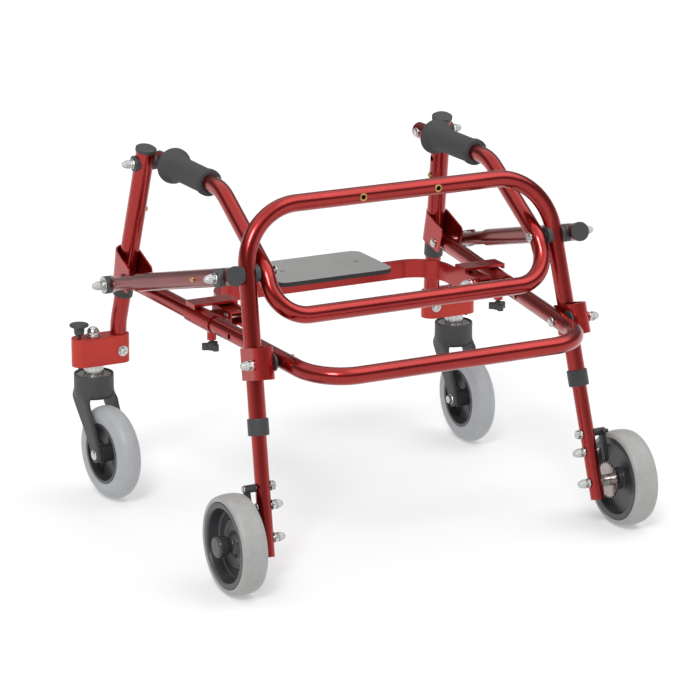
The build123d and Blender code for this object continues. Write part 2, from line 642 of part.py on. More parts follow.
stop_plate = Pos(plate_in_x + plate_wide / 2, plate_mid_y, plate_low_z + PLATE_THICK / 2) * Box(
    plate_wide, PLATE_FRONT_Y - PLATE_BACK_Y, PLATE_THICK
)
lip_low_z = channel_mid.Z + CHANNEL_HALF + FACE_GAP
lip_wide = CHANNEL_X + CHANNEL_HALF - plate_in_x
stop_plate += Pos(plate_in_x + lip_wide / 2, PLATE_FRONT_Y - 2, (plate_low_z + lip_low_z) / 2 + 0.5) * Box(
    lip_wide, 4.0, plate_low_z - lip_low_z + 1.0
)
stop_plate += Pos(BOW_HALF_X, plate_mid_y, (plate_low_z + bow_top_z) / 2) * Box(
    BOW_THICK, PLATE_FRONT_Y - PLATE_BACK_Y, plate_low_z - bow_top_z + 1.0
)
end_lip = Pos(PLATE_OUT_X - 1.5, plate_mid_y, plate_low_z - 0.5) * Box(3.0, PLATE_FRONT_Y - PLATE_BACK_Y, 5.0)
end_lip_clear = rod(rail_axis(SLEEVE_START_Y), rail_axis(SLEEVE_END_Y), SLEEVE_R + 0.6)
stop_plate += end_lip - end_lip_clear
for slot_y in (231.0, 240.0):
    stop_plate -= Pos(200.0, slot_y, plate_low_z) * Box(11.0, 3.4, 20.0)
bow_pivot_hole = across(150, 195, SEAT_PIVOT, BOLT_R + PIN_GAP)
bow += stop_plate
bow += mirrored(stop_plate)
bow -= bow_pivot_hole
bow -= mirrored(bow_pivot_hole)

# Seat board with rounded corners, screwed to the bow
SCREW_X = 55.0
SCREW_R = 2.5
SCREW_HEAD_R = 4.0
board_face = RectangleRounded(2 * BOARD_HALF_X, BOARD_FRONT_Y - BOARD_BACK_Y, 15.0)
board_mid = Vector(0, (BOARD_FRONT_Y + BOARD_BACK_Y) / 2, bow_top_z)
board = extrude(Plane(origin=board_mid, z_dir=Vector(0, 0, 1)) * board_face, amount=BOARD_THICK)
board = fillet(board.edges().group_by(Axis.Z)[-1], 1.2)
screws = []
for side in (-1, 1):
    top = Vector(side * SCREW_X, BOW_Y, BOARD_TOP_Z)
    down = Vector(0, 0, -1)
    screw = rod(top + down * 16, top + down * 2.4, 1.8)
    screw += cone(top + down * 2.4, top + down * 0.3, 1.8, SCREW_HEAD_R)
    board -= rod(top + down * 20, top + down * -2, 1.8 + FIT_GAP)
    board -= cone(top + down * 2.4, top + down * 0.3, 1.8 + FIT_GAP, SCREW_HEAD_R + FIT_GAP)
    board -= rod(top + down * 0.3, top + down * -2, SCREW_HEAD_R + FIT_GAP)
    bow -= rod(top + down * 16.1, top + down * -2, 1.8 + FIT_GAP)
    screws.append(screw)
nodes["seat_bow"] = bow
nodes["seat_board"] = board
seat_bolt = across(BOW_HALF_X - BOW_THICK / 2 - 4, CHANNEL_X + CHANNEL_HALF + 1.0, SEAT_PIVOT, BOLT_R)
seat_bolt += nut_and_cap(BOW_HALF_X - BOW_THICK / 2 - FACE_GAP, SEAT_PIVOT, -1)
seat_bolt += bolt_head(CHANNEL_X + CHANNEL_HALF, SEAT_PIVOT, 1, 5.5, 2.2)
nodes["seat_pivot_bolts"] = both_sides(seat_bolt)
nodes["seat_screws"] = group(*screws)

# Front posts
post_wall = POST_R - FRAME_R - SLIDE_GAP
post = pipe(post_axis(POST_END_Z), post_axis(POST_TOP_Z), POST_R, POST_R - post_wall)
inward = Vector(-1, 0, 0)
button_rise = HOLE_PITCH / hypot(1, POST_RAKE, POST_SPLAY)
for step in (-1, 0, 1):
    centre = post_axis(POST_BUTTON_Z + step * button_rise)
    post -= rod(centre, centre + inward * 20, BUTTON_R + SLIDE_GAP)
post -= grip_bolt_hole
nodes["front_posts"] = both_sides(post)
front_button = spring_button(post_axis(POST_BUTTON_Z) + inward * (POST_R + 0.03), inward, 7.0)
nodes["front_snap_button_right"] = front_button
nodes["front_snap_button_left"] = mirrored(front_button)

# Post gussets: bent sheet wrapped round the front of the post, open at the back
gusset_x = post_axis(FRONT_LOW_PIVOT[1]).X
gusset_low_z = 276.0
gusset_high_z = 350.0
gusset_low_y = post_axis(gusset_low_z).Y - 1.3
gusset_rise = gusset_high_z - gusset_low_z


def wrap(radius):
    """Round-fronted outline of the sheet in plan, trailing backwards."""
    outline = Circle(radius) + Pos(0, -40) * Rectangle(2 * radius, 80)
    return Pos(gusset_x, gusset_low_y, gusset_low_z) * outline


gusset_way = Vector(0, -POST_RAKE, 1) * gusset_rise
sheet = extrude(wrap(GUSSET_INSIDE + GUSSET_SHEET), amount=gusset_way.length, dir=gusset_way.normalized())
sheet -= extrude(wrap(GUSSET_INSIDE), amount=gusset_way.length, dir=gusset_way.normalized())
cheek_outline = [(460, 350), (424, 337), (377, 319), (375, 312), (385, 284), (460, 300)]
cheek = side_plate(cheek_outline, gusset_x - 40, gusset_x + 40, 4.0)
gusset = sheet & cheek
gusset -= front_hole
gusset -= rod(post_axis(POST_END_Z - 10), post_axis(POST_TOP_Z), POST_R + FIT_GAP)
nodes["post_gussets"] = both_sides(gusset)

# Post plastics: top caps, collars under the posts and saddle spacers at the grip pivot
cap_low = post_axis(POST_TOP_Z)
cap_up = (post_axis(480) - post_axis(400)).normalized()
post_cap = rod(cap_low, cap_low + cap_up * 4.5, 14.0)
post_cap += cone(cap_low + cap_up * 4.5, cap_low + cap_up * 6.2, 14.0, 11.5)
post_cap += rod(cap_low - cap_up * 6, cap_low, POST_R - post_wall - FIT_GAP)
POST_COLLAR_END_Z = 270.0
post_collar = rod(post_axis(POST_COLLAR_END_Z), post_axis(POST_END_Z - 0.3), COLLAR_R)
post_collar -= rod(post_axis(POST_COLLAR_END_Z - 10), post_axis(POST_END_Z + 10), FRAME_R + SLIDE_GAP)
post_face_x = HANDLE_X + FRAME_R + FACE_GAP
grip_spacer = across(post_face_x, POST_X, GRIP_PIVOT, SPACER_R - 1.0) - post_core - grip_bolt_hole
grip_saddle = across(POST_X, POST_X + POST_R + 2.5, GRIP_PIVOT, SPACER_R - 1.0) - post_core - grip_bolt_hole
nodes["front_post_plastics"] = both_sides(post_cap, post_collar, grip_spacer, grip_saddle)

# Post bolts: grip pivot from the spacer outward, lower pivot between the cheeks
grip_bolt = across(post_face_x, POST_X + POST_R + 5, GRIP_PIVOT, BOLT_R)
grip_bolt += nut_and_cap(POST_X + POST_R + 2.5, GRIP_PIVOT, 1)
cheek_in_x = gusset_x - GUSSET_INSIDE - GUSSET_SHEET
cheek_out_x = gusset_x + GUSSET_INSIDE + GUSSET_SHEET
low_post_bolt = across(cheek_in_x, cheek_out_x, FRONT_LOW_PIVOT, BOLT_R)
low_post_bolt += bolt_head(cheek_in_x, FRONT_LOW_PIVOT, -1)
outer_washer = across(RAIL_FRONT_X + FRAME_R + 1.0, cheek_out_x - GUSSET_SHEET, FRONT_LOW_PIVOT, WASHER_R)
low_post_bolt += outer_washer
nodes["front_post_bolts"] = both_sides(grip_bolt, low_post_bolt)

# Front legs: a straight length inside the post, then a bend to the vertical
BEND_Z = GRIP_PIVOT[1] - (BLOCK_Y - GRIP_PIVOT[0]) / POST_RAKE
LEG_BEND_R = 100.0
FRONT_LEG_TOP_Z = 405.0
bend_point = post_axis(BEND_Z)
leg_foot = Vector(bend_point.X, BLOCK_Y, BLOCK_BOTTOM_Z + 2.0)
front_leg = bent_tube([post_axis(FRONT_LEG_TOP_Z), bend_point, leg_foot], LEG_BEND_R, FRAME_R, LEG_WALL)
slot_start = post_axis(POST_BUTTON_Z - HOLE_PITCH - slot_half)
slot_end = post_axis(FRONT_LEG_TOP_Z + 5)
front_slot_plane = Plane(origin=slot_start, x_dir=inward, z_dir=slot_end - slot_start)
front_slot = extrude(front_slot_plane * Pos(10, 0) * Rectangle(20, 2 * slot_half), amount=(slot_end - slot_start).length)
front_leg -= front_slot
clamp_centre = Vector(bend_point.X, BLOCK_Y, 193.0)
clamp_hole = rod(clamp_centre - forward * 40, clamp_centre + forward * 10, BOLT_R + FIT_GAP)
front_leg -= clamp_hole
nodes["front_leg_right"] = front_leg
nodes["front_leg_left"] = mirrored(front_leg)

# Caster blocks
block_long = BLOCK_OUTER_X - bend_point.X
block_face = Pos(bend_point.X + block_long / 2, BLOCK_Y) * SlotCenterToCenter(block_long, 2 * BLOCK_END_R)
block = Pos(0, 0, BLOCK_BOTTOM_Z) * extrude(block_face, amount=BLOCK_TOP_Z - BLOCK_BOTTOM_Z)
block = chamfer(block.edges().group_by(Axis.Z)[-1], 0.6)
leg_bore_top = Vector(bend_point.X, BLOCK_Y, BLOCK_TOP_Z + 5)
block -= rod(leg_foot - Vector(0, 0, 5), leg_bore_top, FRAME_R + FIT_GAP)
STEM_R = 5.0
stem_low = Vector(STEM_X, BLOCK_Y, CUP_BOTTOM_Z + 6.0)
stem_high = Vector(STEM_X, BLOCK_Y, BLOCK_TOP_Z + 6.0)
block -= rod(stem_low, stem_high, STEM_R + FIT_GAP)
PLUNGER_PIN_R = 2.4
plunger_point = Vector(PLUNGER_X, BLOCK_Y, BLOCK_BOTTOM_Z)
block -= rod(plunger_point - Vector(0, 0, 5), plunger_point + Vector(0, 0, 60), PLUNGER_PIN_R + PIN_GAP)
block -= clamp_hole
nodes["caster_block_right"] = block
nodes["caster_block_left"] = mirrored(block)

# Stem hardware: dome nut, stem, bearing washers, bearing plate and the clamp screw
up = Vector(0, 0, 1)
stem_face = Vector(STEM_X, BLOCK_Y, BLOCK_TOP_Z)
DOME_R = 9.0
dome = Pos(stem_face + up * 4.5) * Sphere(DOME_R)
dome &= Pos(stem_face + up * 11) * Box(40, 40, 22)
stem = rod(stem_low, stem_high, STEM_R)
dome += rod(stem_face, stem_face + up * 2.2, DOME_R + 1.0)
BEARING_R = 13.5
stem_gap_top = Vector(STEM_X, BLOCK_Y, BLOCK_BOTTOM_Z)
recess_z = CUP_TOP_Z - 4.0
bearing = rod(Vector(STEM_X, BLOCK_Y, recess_z + FACE_GAP), stem_gap_top, BEARING_R)
plate = rod(Vector(STEM_X, BLOCK_Y, recess_z + FACE_GAP), Vector(STEM_X, BLOCK_Y, recess_z + 2.3), CUP_R - 3.2)
stem_stack = dome + stem + bearing + plate
clamp_face = clamp_centre - forward * BLOCK_END_R
clamp_screw = rod(clamp_face, clamp_centre + forward * 6, BOLT_R)
clamp_screw += rod(clamp_face - forward * 1.2, clamp_face, 7.2)
clamp_screw += rod(clamp_face - forward * 4.4, clamp_face - forward * 1.2, 5.0)
clamp_screw -= rod(clamp_face - forward * 6, clamp_face - forward * 2.6, 2.2)
stem_hardware = group(stem_stack, clamp_screw)
nodes["stem_hardware_right"] = stem_hardware
nodes["stem_hardware_left"] = mirrored(stem_hardware)

# Swivel-lock plungers
plunger = rod(plunger_point + up * -1.5, Vector(PLUNGER_X, BLOCK_Y, BLOCK_TOP_Z + 8), PLUNGER_PIN_R)
neck_low = Vector(PLUNGER_X, BLOCK_Y, BLOCK_TOP_Z + 4.4)
neck_high = neck_low + up * 11.0
plunger += cone(neck_low, neck_low + up * 1.5, 5.0, 6.6)
plunger += rod(neck_low + up * 1.5, neck_high, 6.6)
plunger += cone(neck_high, neck_high + up * 1.5, 6.6, 12.0)
plunger += rod(neck_high + up * 1.5, neck_high + up * 3.5, 12.0)
plunger += cone(neck_high + up * 3.5, neck_high + up * 5.0, 12.0, 9.0)
nodes["plunger_right"] = plunger
nodes["plunger_left"] = mirrored(plunger)

# Caster forks, drawn with the wheel straight behind the stem and then turned to the rest swivel
stem_line = Vector(STEM_X, BLOCK_Y, 0)
caster_centre = (BLOCK_Y - TRAIL, WHEEL_R)
cup = rod(stem_line + up * CUP_BOTTOM_Z, stem_line + up * CUP_TOP_Z, CUP_R)
cup -= rod(stem_line + up * recess_z, stem_line + up * (CUP_TOP_Z + 5), CUP_R - 2.5)
cup -= rod(stem_line + up * (CUP_BOTTOM_Z - 5), stem_line + up * (CUP_TOP_Z + 5), STEM_R + PIN_GAP)
ARM_TIP_R = 11.0
ARM_ROOT = 17.0
arm_outline = [
    (BLOCK_Y - ARM_ROOT, CUP_BOTTOM_Z + 12),
    (BLOCK_Y + ARM_ROOT, CUP_BOTTOM_Z + 12),
    (BLOCK_Y + ARM_ROOT, CUP_BOTTOM_Z - 4),
    (caster_centre[0] + ARM_TIP_R, caster_centre[1]),
    (caster_centre[0] - ARM_TIP_R, caster_centre[1]),
    (BLOCK_Y - ARM_ROOT, CUP_BOTTOM_Z - 4),
]
cup_round = pipe(stem_line + up * (CUP_BOTTOM_Z - 4), stem_line + up * (CUP_TOP_Z + 5), 2 * CUP_R, CUP_R)
fork = cup
for inner_x in (STEM_X - ARM_INSIDE - ARM_SHEET, STEM_X + ARM_INSIDE):
    arm = side_plate(arm_outline, inner_x, inner_x + ARM_SHEET, 3.0)
    arm += across(inner_x, inner_x + ARM_SHEET, caster_centre, ARM_TIP_R)
    fork += arm - cup_round
fork -= across(200, 320, caster_centre, AXLE_R + FIT_GAP)
arm_out_x = STEM_X + ARM_INSIDE + ARM_SHEET
arm_in_x = STEM_X - ARM_INSIDE - ARM_SHEET
caster_axle = across(arm_in_x - 4, arm_out_x, caster_centre, AXLE_R)
caster_axle += bolt_head(arm_out_x, caster_centre, 1, 7.0, 3.0)
caster_axle += nut_and_cap(arm_in_x, caster_centre, -1, False)
caster_tyre = Pos(STEM_X, *caster_centre) * tyre_ring(CASTER_WIDTH, HUB_R + FIT_GAP, 9.0)
caster_hub = wheel_hub(CASTER_WIDTH, HUB_R, RIM_WALL, 12.0, ARM_INSIDE - FACE_GAP * 2, 0.0, AXLE_R + PIN_GAP)
caster_hub = Pos(STEM_X, *caster_centre) * caster_hub
caster_parts = {"caster_fork": fork, "caster_axle": caster_axle, "caster_tyre": caster_tyre, "caster_hub": caster_hub}
swivel_line = Axis(stem_line, up)
for name, shape in caster_parts.items():
    nodes[name + "_right"] = shape.rotate(swivel_line, SWIVEL_REST["right"])
    nodes[name + "_left"] = mirrored(shape.rotate(swivel_line, -SWIVEL_REST["left"]))

# Struts: the outer tubes turn on the rear top pivot
strut_wall = STRUT_R - LEG_R - SLIDE_GAP
strut_outer = pipe(strut_axis(-STRUT_BEHIND), strut_axis(STRUT_OUTER_END), STRUT_R, STRUT_R - strut_wall)
strut_outer -= top_running
outward = Vector(1, 0, 0)
strut_button_point = strut_axis(STRUT_BUTTON_AT)
strut_outer -= rod(strut_button_point, strut_button_point + outward * 30, BUTTON_R + SLIDE_GAP)
nodes["strut_outers"] = both_sides(strut_outer)
strut_button = spring_button(strut_button_point + outward * STRUT_R, outward, BUTTON_DEPTH)
nodes["strut_button_right"] = strut_button
nodes["strut_button_left"] = mirrored(strut_button)

# Strut plastics: rear end caps and saddles at the rear pivot
strut_way = STRUT_VECTOR.normalized()
rear_cap = rod(strut_axis(-STRUT_BEHIND - 3), strut_axis(-STRUT_BEHIND), STRUT_R + 0.9)
rear_cap += rod(strut_axis(-STRUT_BEHIND), strut_axis(-STRUT_BEHIND + 9), STRUT_R - strut_wall - FIT_GAP)
inner_saddle = across(strut_gap_x, STRUT_REAR_X, REAR_TOP_PIVOT, SPACER_R) - strut_core - top_running
outer_saddle = across(STRUT_REAR_X, top_nut_x, REAR_TOP_PIVOT, SPACER_R) - strut_core - top_running
nodes["strut_plastics"] = both_sides(rear_cap, inner_saddle, outer_saddle)

# Inner strut tubes with an open notch for the button and a spring stud on top
strut_inner = pipe(strut_axis(STRUT_INNER_START), strut_axis(STRUT_LENGTH + STRUT_PAST), LEG_R, LEG_R - LEG_WALL)
notch_start = strut_axis(STRUT_INNER_START - 5)
notch_end = strut_axis(STRUT_BUTTON_AT + slot_half + 1.5)
notch_plane = Plane(origin=notch_start, x_dir=outward, z_dir=strut_way)
notch = extrude(notch_plane * Pos(10, 0) * Rectangle(20, 2 * slot_half), amount=(notch_end - notch_start).length)
strut_inner -= notch
strut_front_hole = across(200, 320, FRONT_LOW_PIVOT, BOLT_R + FIT_GAP)
strut_inner -= strut_front_hole
stud_point = strut_axis(STRUT_STUD_AT)
strut_inner += rod(stud_point + up * (LEG_R - 2.5), stud_point + up * (LEG_R + 2.6), 3.2)
nodes["strut_inner_right"] = strut_inner
nodes["strut_inner_left"] = mirrored(strut_inner)

# Strut front hardware: spacer, saddle, nut and cap on a short stud
spacer_start_x = cheek_out_x + FACE_GAP
front_nut_x = STRUT_FRONT_X + LEG_R + 4.5
front_spacer = across(spacer_start_x, STRUT_FRONT_X, FRONT_LOW_PIVOT, 8.5) - strut_front_core
front_saddle = across(STRUT_FRONT_X, front_nut_x, FRONT_LOW_PIVOT, SPACER_R) - strut_front_core
front_stud = across(spacer_start_x, front_nut_x + 3, FRONT_LOW_PIVOT, BOLT_R)
front_stud += nut_and_cap(front_nut_x, FRONT_LOW_PIVOT, 1)
stud_hole = across(200, 320, FRONT_LOW_PIVOT, BOLT_R)
strut_hardware = group(front_spacer - stud_hole, front_saddle - stud_hole, front_stud)
nodes["strut_front_hardware_right"] = strut_hardware
nodes["strut_front_hardware_left"] = mirrored(strut_hardware)

to_origin = Location(Vector(0, -MIDDLE_Y, 0))
for name, shape in nodes.items():
    export_step(shape.moved(to_origin), "parts/" + name + ".step")
print(len(nodes), "nodes written")
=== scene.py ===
# %% [markdown]
# A posterior walker: a red tube frame that stands behind the walking child, on two casters at the
# front and two ratchet wheels at the back. The construction model comes in first, in metres, and its
# pieces stay exactly where they are. This lesson gives them finishes and makes the softer shapes anew.

# %% Load the construction model
import bmesh
import bpy
import json
from math import cos, pi, radians, sin
from mathutils import Matrix, Vector


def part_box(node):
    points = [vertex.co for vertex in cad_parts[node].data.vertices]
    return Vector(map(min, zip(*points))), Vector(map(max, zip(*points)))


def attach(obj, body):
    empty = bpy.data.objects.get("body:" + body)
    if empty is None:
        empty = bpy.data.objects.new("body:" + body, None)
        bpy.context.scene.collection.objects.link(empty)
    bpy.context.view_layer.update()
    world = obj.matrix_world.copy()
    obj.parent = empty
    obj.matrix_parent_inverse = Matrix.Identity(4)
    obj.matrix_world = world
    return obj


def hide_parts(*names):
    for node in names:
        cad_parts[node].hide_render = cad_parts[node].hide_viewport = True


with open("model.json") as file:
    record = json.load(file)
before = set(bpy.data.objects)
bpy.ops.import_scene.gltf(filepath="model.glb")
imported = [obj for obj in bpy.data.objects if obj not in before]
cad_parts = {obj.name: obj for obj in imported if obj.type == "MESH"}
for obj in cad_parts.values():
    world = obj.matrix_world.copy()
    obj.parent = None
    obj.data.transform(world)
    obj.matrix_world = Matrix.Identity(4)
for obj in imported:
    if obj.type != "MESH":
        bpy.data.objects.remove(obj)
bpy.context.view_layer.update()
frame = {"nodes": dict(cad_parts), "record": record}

# %% [markdown]
# The camera looks from behind and to the left, a little from above, through a long lens. Its three
# directions are written as rows: to the right, down and forward. They make one rotation matrix,
# which is exact and needs no aiming constraint.

# %% Camera
camera = bpy.data.objects.new("camera", bpy.data.cameras.new("camera"))
bpy.context.scene.collection.objects.link(camera)
look_right = Vector((0.88428588, -0.46691518, 0.00535605))
look_down = Vector((-0.12794436, -0.25331203, -0.95888647))
look_forward = Vector((0.4490754, 0.84724449, -0.28373942))
stand_point = Vector((-1.87585, -3.50897, 1.39887))
camera.matrix_world = Matrix.Translation(stand_point) @ Matrix(
    (look_right, -look_down, -look_forward)
).transposed().to_4x4()
camera.data.lens = 162.48
camera.data.clip_end = 50.0
bpy.context.scene.camera = camera
bpy.context.scene.view_settings.view_transform = "Standard"
print("camera stands", stand_point[:])

# %% [markdown]
# Shader maths gets long when every step is a node set by hand. This small class wraps one socket, so
# that a material can be written as an ordinary sum, and one method adds any other kind of node.


# %% Sockets that add up
class Wire:
    """One socket in a node tree that can be added, multiplied and passed on."""

    def __init__(self, tree, socket):
        self.tree = tree
        self.socket = socket

    def feed(self, target, value):
        if isinstance(value, Wire):
            self.tree.links.new(value.socket, target)
        else:
            target.default_value = value

    def node(self, kind, settings=None, sockets=None, out=0):
        made = self.tree.nodes.new(kind)
        for key, value in (settings or {}).items():
            if key == "stops":
                ramp = made.color_ramp.elements
                while len(ramp) < len(value):
                    ramp.new(0.5)
                for stop, (place, colour) in zip(ramp, value):
                    stop.position = place
                    stop.color = colour
            else:
                setattr(made, key, value)
        for key, value in (sockets or {}).items():
            self.feed(made.inputs[key], value)
        return Wire(self.tree, made.outputs[out])

    def sum(self, operation, first, second=None):
        sockets = {0: first}
        if second is not None:
            sockets[1] = second
        return self.node("ShaderNodeMath", {"operation": operation}, sockets)

    def __add__(self, other):
        return self.sum("ADD", self, other)

    def __radd__(self, other):
        return self.sum("ADD", other, self)

    def __sub__(self, other):
        return self.sum("SUBTRACT", self, other)

    def __rsub__(self, other):
        return self.sum("SUBTRACT", other, self)

    def __mul__(self, other):
        return self.sum("MULTIPLY", self, other)

    def __rmul__(self, other):
        return self.sum("MULTIPLY", other, self)

    def __truediv__(self, other):
        return self.sum("DIVIDE", self, other)

    def __rtruediv__(self, other):
        return self.sum("DIVIDE", other, self)

    def __pow__(self, other):
        return self.sum("POWER", self, other)

    def __rpow__(self, other):
        return self.sum("POWER", other, self)

    def step(self, low, high):
        """0 below low, 1 above high, a straight slope between."""
        return self.node("ShaderNodeMapRange", {}, {0: self, 1: low, 2: high})

    def noise(self, scale, detail=3.0, rough=0.55):
        return self.node("ShaderNodeTexNoise", {}, {"Vector": self, "Scale": scale, "Detail": detail, "Roughness": rough})

    def spots(self, scale):
        return self.node("ShaderNodeTexVoronoi", {}, {"Vector": self, "Scale": scale})

    def mix(self, low, high):
        """Colour low where this is 0 and colour high where it is 1."""
        return self.node("ShaderNodeMix", {"data_type": "RGBA"}, {0: self, 6: low, 7: high}, out=2)


def shade(red, green, blue):
    """Linear colour of a 0 to 255 screen colour."""
    linear = []
    for part in (red, green, blue):
        part = part / 255
        linear.append(part / 12.92 if part <= 0.04045 else ((part + 0.055) / 1.055) ** 2.4)
    return (*linear, 1.0)


def new_finish(name, fixed, recipe):
    """Material whose constants sit on the shader and whose varying inputs come from the recipe."""
    material = bpy.data.materials.new(name)
    material.use_nodes = True
    tree = material.node_tree
    shader = tree.nodes["Principled BSDF"]
    for socket, value in fixed.items():
        shader.inputs[socket].default_value = value
    spot = Wire(tree, tree.nodes.new("ShaderNodeTexCoord").outputs["Object"])
    for socket, value in recipe(spot).items():
        spot.feed(shader.inputs[socket], value)
    return material


def relief(height, strength, depth, edge=0.0006):
    """Normal with small bumps, over edges that look rounded by the edge radius."""
    rounded = height.node("ShaderNodeBevel", {"samples": 4}, {"Radius": edge})
    return height.node(
        "ShaderNodeBump", {}, {"Strength": strength, "Distance": depth, "Height": height, "Normal": rounded}
    )


print("shade of white", shade(255, 255, 255))

# %% [markdown]
# The tubes are anodised: a transparent red dye over bright metal. Metallic with a clear coat gives the
# deep red with narrow pale streaks. The dye is never quite even, and a fine draw grain runs in it.


# %% Red finishes
def red_tube(name, dark, bright, smooth):
    def recipe(spot):
        cloud = spot.noise(9.0, 4.0)
        grain = spot.noise(420.0, 3.0)
        rubbed = spot.noise(55.0, 5.0, 0.7).step(0.58, 0.74)
        return {
            "Base Color": (cloud * 0.7 + grain * 0.3).step(0.3, 0.7).mix(dark, bright),
            "Roughness": grain * 0.04 + rubbed * 0.05 + smooth,
            "Coat Weight": 0.5 - rubbed * 0.2,
            "Normal": relief(grain, 0.015, 0.0001),
        }

    return new_finish(name, {"Metallic": 0.93, "Coat Roughness": 0.07, "Coat IOR": 1.5}, recipe)


def red_sheet(spot):
    cloud = spot.noise(22.0, 4.0)
    grain = spot.noise(900.0, 2.0)
    return {
        "Base Color": (cloud * 0.6 + grain * 0.4).step(0.3, 0.7).mix(shade(150, 28, 26), shade(178, 42, 36)),
        "Roughness": grain * 0.08 + 0.2,
        "Normal": relief(grain, 0.06, 0.0002, 0.0009),
    }


def block_red(spot):
    cloud = spot.noise(22.0, 4.0)
    grain = spot.noise(1100.0, 3.0, 0.6)
    return {
        "Base Color": (cloud * 0.5 + grain * 0.5).step(0.3, 0.7).mix(shade(168, 46, 38), shade(196, 62, 52)),
        "Roughness": grain * 0.12 + 0.34,
        "Normal": relief(grain, 0.14, 0.0002, 0.0009),
    }


finishes = {
    "frame_red": red_tube("anodised_red", shade(140, 30, 28), shade(170, 44, 40), 0.2),
    "sheet_red": new_finish("coated_red", {"Metallic": 0.75, "Coat Weight": 0.3, "Coat Roughness": 0.15}, red_sheet),
}
strut_red = red_tube("anodised_strut_red", shade(118, 40, 38), shade(142, 54, 50), 0.27)
satin_red = new_finish("satin_block_red", {"Metallic": 0.6, "Coat Weight": 0.1, "Coat Roughness": 0.3}, block_red)
print("red finishes", sorted(finishes))

# %% [markdown]
# Moulded plastics differ mostly in grain. One recipe takes the two colours, the roughness and the grain
# size, and scuffs that are a little paler lie in a slow noise.


# %% Black plastics and foam
def moulded(name, dark, pale, rough, grain_scale, depth, shine=0.5):
    def recipe(spot):
        grain = spot.noise(grain_scale, 3.0, 0.6)
        scuff = spot.noise(70.0, 6.0, 0.75).step(0.6, 0.78)
        return {
            "Base Color": (grain * 0.5 + scuff * 0.5).mix(dark, pale),
            "Roughness": grain * 0.14 + rough - scuff * 0.05,
            "Normal": relief(grain, 0.3, depth, 0.0008),
        }

    return new_finish(name, {"Specular IOR Level": shine}, recipe)


finishes["black_plastic"] = moulded("charcoal_moulding", shade(48, 48, 50), shade(78, 78, 80), 0.42, 1300.0, 0.0002)
finishes["lever_black"] = moulded("black_moulding", shade(30, 30, 32), shade(58, 58, 60), 0.36, 1300.0, 0.0002)
finishes["fork_black"] = moulded("fork_nylon", shade(50, 50, 52), shade(76, 76, 79), 0.42, 1500.0, 0.0003)
finishes["hub_black"] = moulded("hub_nylon", shade(46, 45, 48), shade(72, 71, 74), 0.26, 900.0, 0.0001, 0.65)
finishes["grip_foam"] = moulded("grip_foam", shade(56, 56, 57), shade(88, 88, 89), 0.62, 2100.0, 0.0007, 0.3)
print("black finishes", len(finishes))

# %% [markdown]
# The fasteners are zinc plated: bright, slightly blue, with blotches of different roughness. Brass is
# warmer. The toothed ring is polished harder and keeps a thin trace of oil.


# %% Metals
def plated(name, dark, pale, rough, spread, blotch_size=240.0):
    def recipe(spot):
        blotch = spot.noise(blotch_size, 4.0, 0.6)
        grain = spot.noise(1900.0, 2.0)
        return {
            "Base Color": blotch.step(0.3, 0.7).mix(dark, pale),
            "Roughness": blotch * spread + rough,
            "Normal": relief(grain, 0.12, 0.0001, 0.0005),
        }

    return new_finish(name, {"Metallic": 0.95}, recipe)


finishes["zinc_hardware"] = plated("bright_zinc", shade(172, 172, 172), shade(222, 222, 220), 0.14, 0.22)
finishes["strut_hardware"] = plated("worn_zinc", shade(150, 150, 150), shade(208, 208, 206), 0.2, 0.25)
finishes["brass"] = plated("yellow_brass", shade(150, 112, 62), shade(214, 178, 116), 0.16, 0.2)
finishes["ratchet_steel"] = plated("ratchet_plate", shade(150, 140, 138), shade(188, 180, 176), 0.2, 0.1, 70.0)
print("metal finishes", len(finishes))


# %% [markdown]
# The rear tyres are grey with pale specks moulded in; the caster tyres are smoother, bluish and lighter.
# Each tyre's own axis is X, so the distance from it tells tread from sidewall: the tread is rubbed and a
# little darker, and moulding lines run round it as fine ridges.


# %% Tyres
def tyre_look(name, dark, pale, speck, speck_size):
    def recipe(spot):
        split = spot.node("ShaderNodeSeparateXYZ", {}, {0: spot})
        across, depth, height = (Wire(spot.tree, socket) for socket in split.socket.node.outputs)
        reach = (depth * depth + height * height) ** 0.5
        tread = reach.step(0.0612, 0.0634)
        cloud = spot.noise(60.0, 5.0, 0.65)
        fine = spot.noise(700.0, 3.0)
        specks = spot.spots(speck_size).step(0.16, 0.06) * speck
        wear = tread * spot.noise(240.0, 4.0, 0.7).step(0.42, 0.7)
        tint = (cloud.step(0.25, 0.75) * 0.3 + fine * 0.35 - wear * 0.2 + specks + 0.1).step(0.0, 1.0)
        seam = (across * 6283.0 * 0.25).sum("SINE", across * 1570.0)
        return {
            "Base Color": tint.mix(dark, pale),
            "Roughness": cloud * 0.12 + wear * 0.1 + 0.36,
            "Normal": relief(spot.noise(1500.0, 3.0) + seam * 0.12, 0.22, 0.0002),
        }

    return new_finish(name, {"Specular IOR Level": 0.45, "Sheen Weight": 0.05}, recipe)


finishes["tyre_rear"] = tyre_look("grey_tyre", shade(134, 134, 133), shade(182, 182, 180), 0.5, 420.0)
finishes["tyre_caster"] = tyre_look("pale_tyre", shade(150, 153, 156), shade(178, 181, 184), 0.15, 700.0)

# %% [markdown]
# The seat board is a laminate: a grey matt face over a near black core that shows at its edge. Height in
# the piece's own coordinates separates the two, so the line stays sharp when the seat is flipped up.


# %% Seat board
board_low, board_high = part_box("seat_board")


